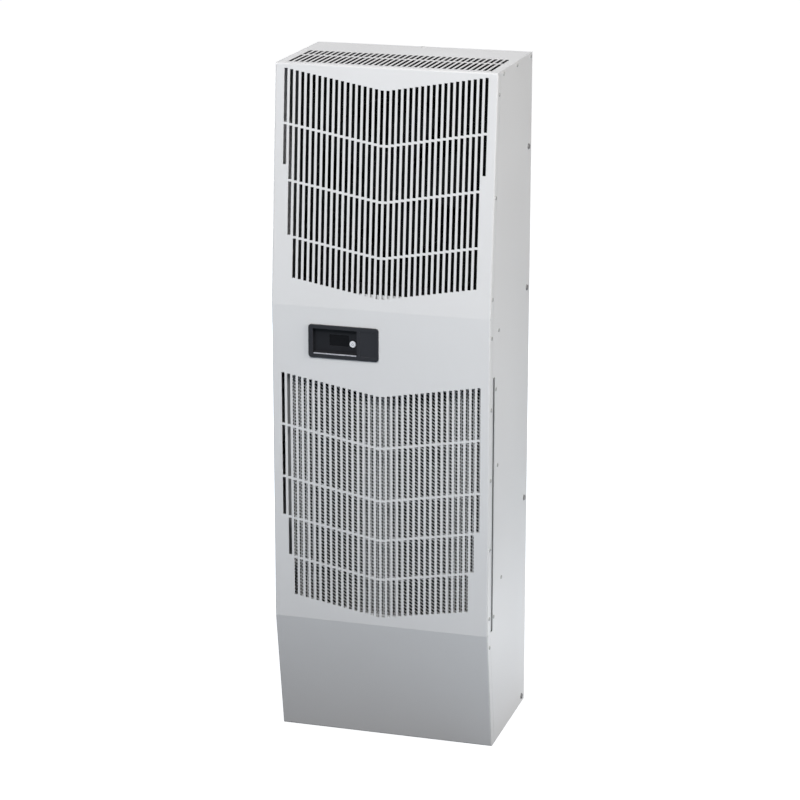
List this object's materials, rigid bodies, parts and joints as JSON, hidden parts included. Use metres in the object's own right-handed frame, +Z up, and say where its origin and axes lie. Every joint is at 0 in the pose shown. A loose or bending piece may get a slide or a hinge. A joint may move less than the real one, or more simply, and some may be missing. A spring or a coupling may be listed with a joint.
{
  "type": "enclosure air conditioner",
  "caption": "Tall narrow side-mount enclosure air conditioner with a folded slotted front cover, control window, side-loading mesh filter and rear bolt-on face.",
  "frame": {"origin": "middle of the footprint's box at the underside of the base", "axes": "+Z up, -Y out of the slotted front, +Y into the enclosure wall, +X to the right seen from the front"},
  "size_m": [0.438, 0.307, 1.336],
  "materials": {
    "cabinet_paint": "light grey satin powder coat on folded steel sheet",
    "plated_steel": "zinc-plated sheet steel",
    "black_paint": "black paint on pressed steel",
    "aluminium": "plain mill-finish aluminium",
    "filter_mesh": "expanded aluminium mesh",
    "coil_fins": "folded aluminium fin strip",
    "copper": "drawn copper tube",
    "rubber": "black elastomer and closed-cell foam",
    "black_plastic": "moulded black plastic, fine texture",
    "white_plastic": "white moulded key",
    "display_glass": "smoked display lens",
    "clear_hose": "soft drain hose",
    "zinc_screws": "bright zinc plate",
    "black_bolts": "black oxide steel"
  },
  "bodies": {
    "cabinet": {"front_cover": "cabinet_paint", "left_side_panel": "cabinet_paint", "right_side_panel": "cabinet_paint", "top_panel": "cabinet_paint", "back_panel": "cabinet_paint", "base_pan": "cabinet_paint", "lower_deck": "plated_steel", "upper_deck": "plated_steel", "fan_shelf": "plated_steel", "filter_rails": "plated_steel", "evaporator_baffle": "plated_steel", "control_box": "plated_steel", "control_box_cover": "plated_steel", "drier_clamp": "plated_steel", "blower_inlet_ring": "plated_steel", "blower_motor": "plated_steel", "condenser_fan_motor": "plated_steel", "compressor": "black_paint", "accumulator": "black_paint", "filter_drier": "black_paint", "divider_wall": "black_paint", "fan_deck": "black_paint", "condenser_motor_mount": "black_paint", "condenser_core": "aluminium", "evaporator_core": "aluminium", "run_capacitor": "aluminium", "condenser_fins": "coil_fins", "evaporator_fins": "coil_fins", "discharge_line": "copper", "suction_line": "copper", "liquid_line": "copper", "expansion_line": "copper", "compressor_grommets": "rubber", "line_grommets": "rubber", "coil_saddles": "rubber", "mounting_gasket": "rubber", "control_bezel": "black_plastic", "controller_module": "black_plastic", "cable_gland": "black_plastic", "contactor": "black_plastic", "terminal_block": "black_plastic", "outlet_grille": "black_plastic", "condensate_pan": "black_plastic", "display_lens": "display_glass", "drain_tube": "clear_hose", "cover_screws": "zinc_screws", "top_screws": "zinc_screws", "bracket_screws": "zinc_screws", "weld_nuts": "zinc_screws", "compressor_studs": "zinc_screws", "blower_guard": "zinc_screws", "side_bolts": "black_bolts"},
    "air_filter": {"filter_frame": "aluminium", "filter_media": "filter_mesh"},
    "condenser_rotor": {"condenser_fan": "black_plastic", "condenser_fan_shaft": "zinc_screws"},
    "blower_rotor": {"blower_wheel": "aluminium", "blower_shaft": "zinc_screws"},
    "power_key": {"power_button": "white_plastic"}
  },
  "joints": [
    {"name": "filter_slide", "type": "slide", "parent": "cabinet", "child": "air_filter", "axis": [1, 0, 0], "range_m": [0, 0.4]},
    {"name": "condenser_fan_spin", "type": "hinge", "parent": "cabinet", "child": "condenser_rotor", "pos_m": [0, -0.0505, 1.11675], "axis": [0, 1, 0], "continuous": true},
    {"name": "blower_spin", "type": "hinge", "parent": "cabinet", "child": "blower_rotor", "pos_m": [0, 0.0795, 1.11675], "axis": [0, 1, 0], "continuous": true},
    {"name": "power_key_press", "type": "slide", "parent": "cabinet", "child": "power_key", "axis": [0, 1, 0], "range_m": [0, 0.0015], "stiffness_N_per_m": 400}
  ]
}
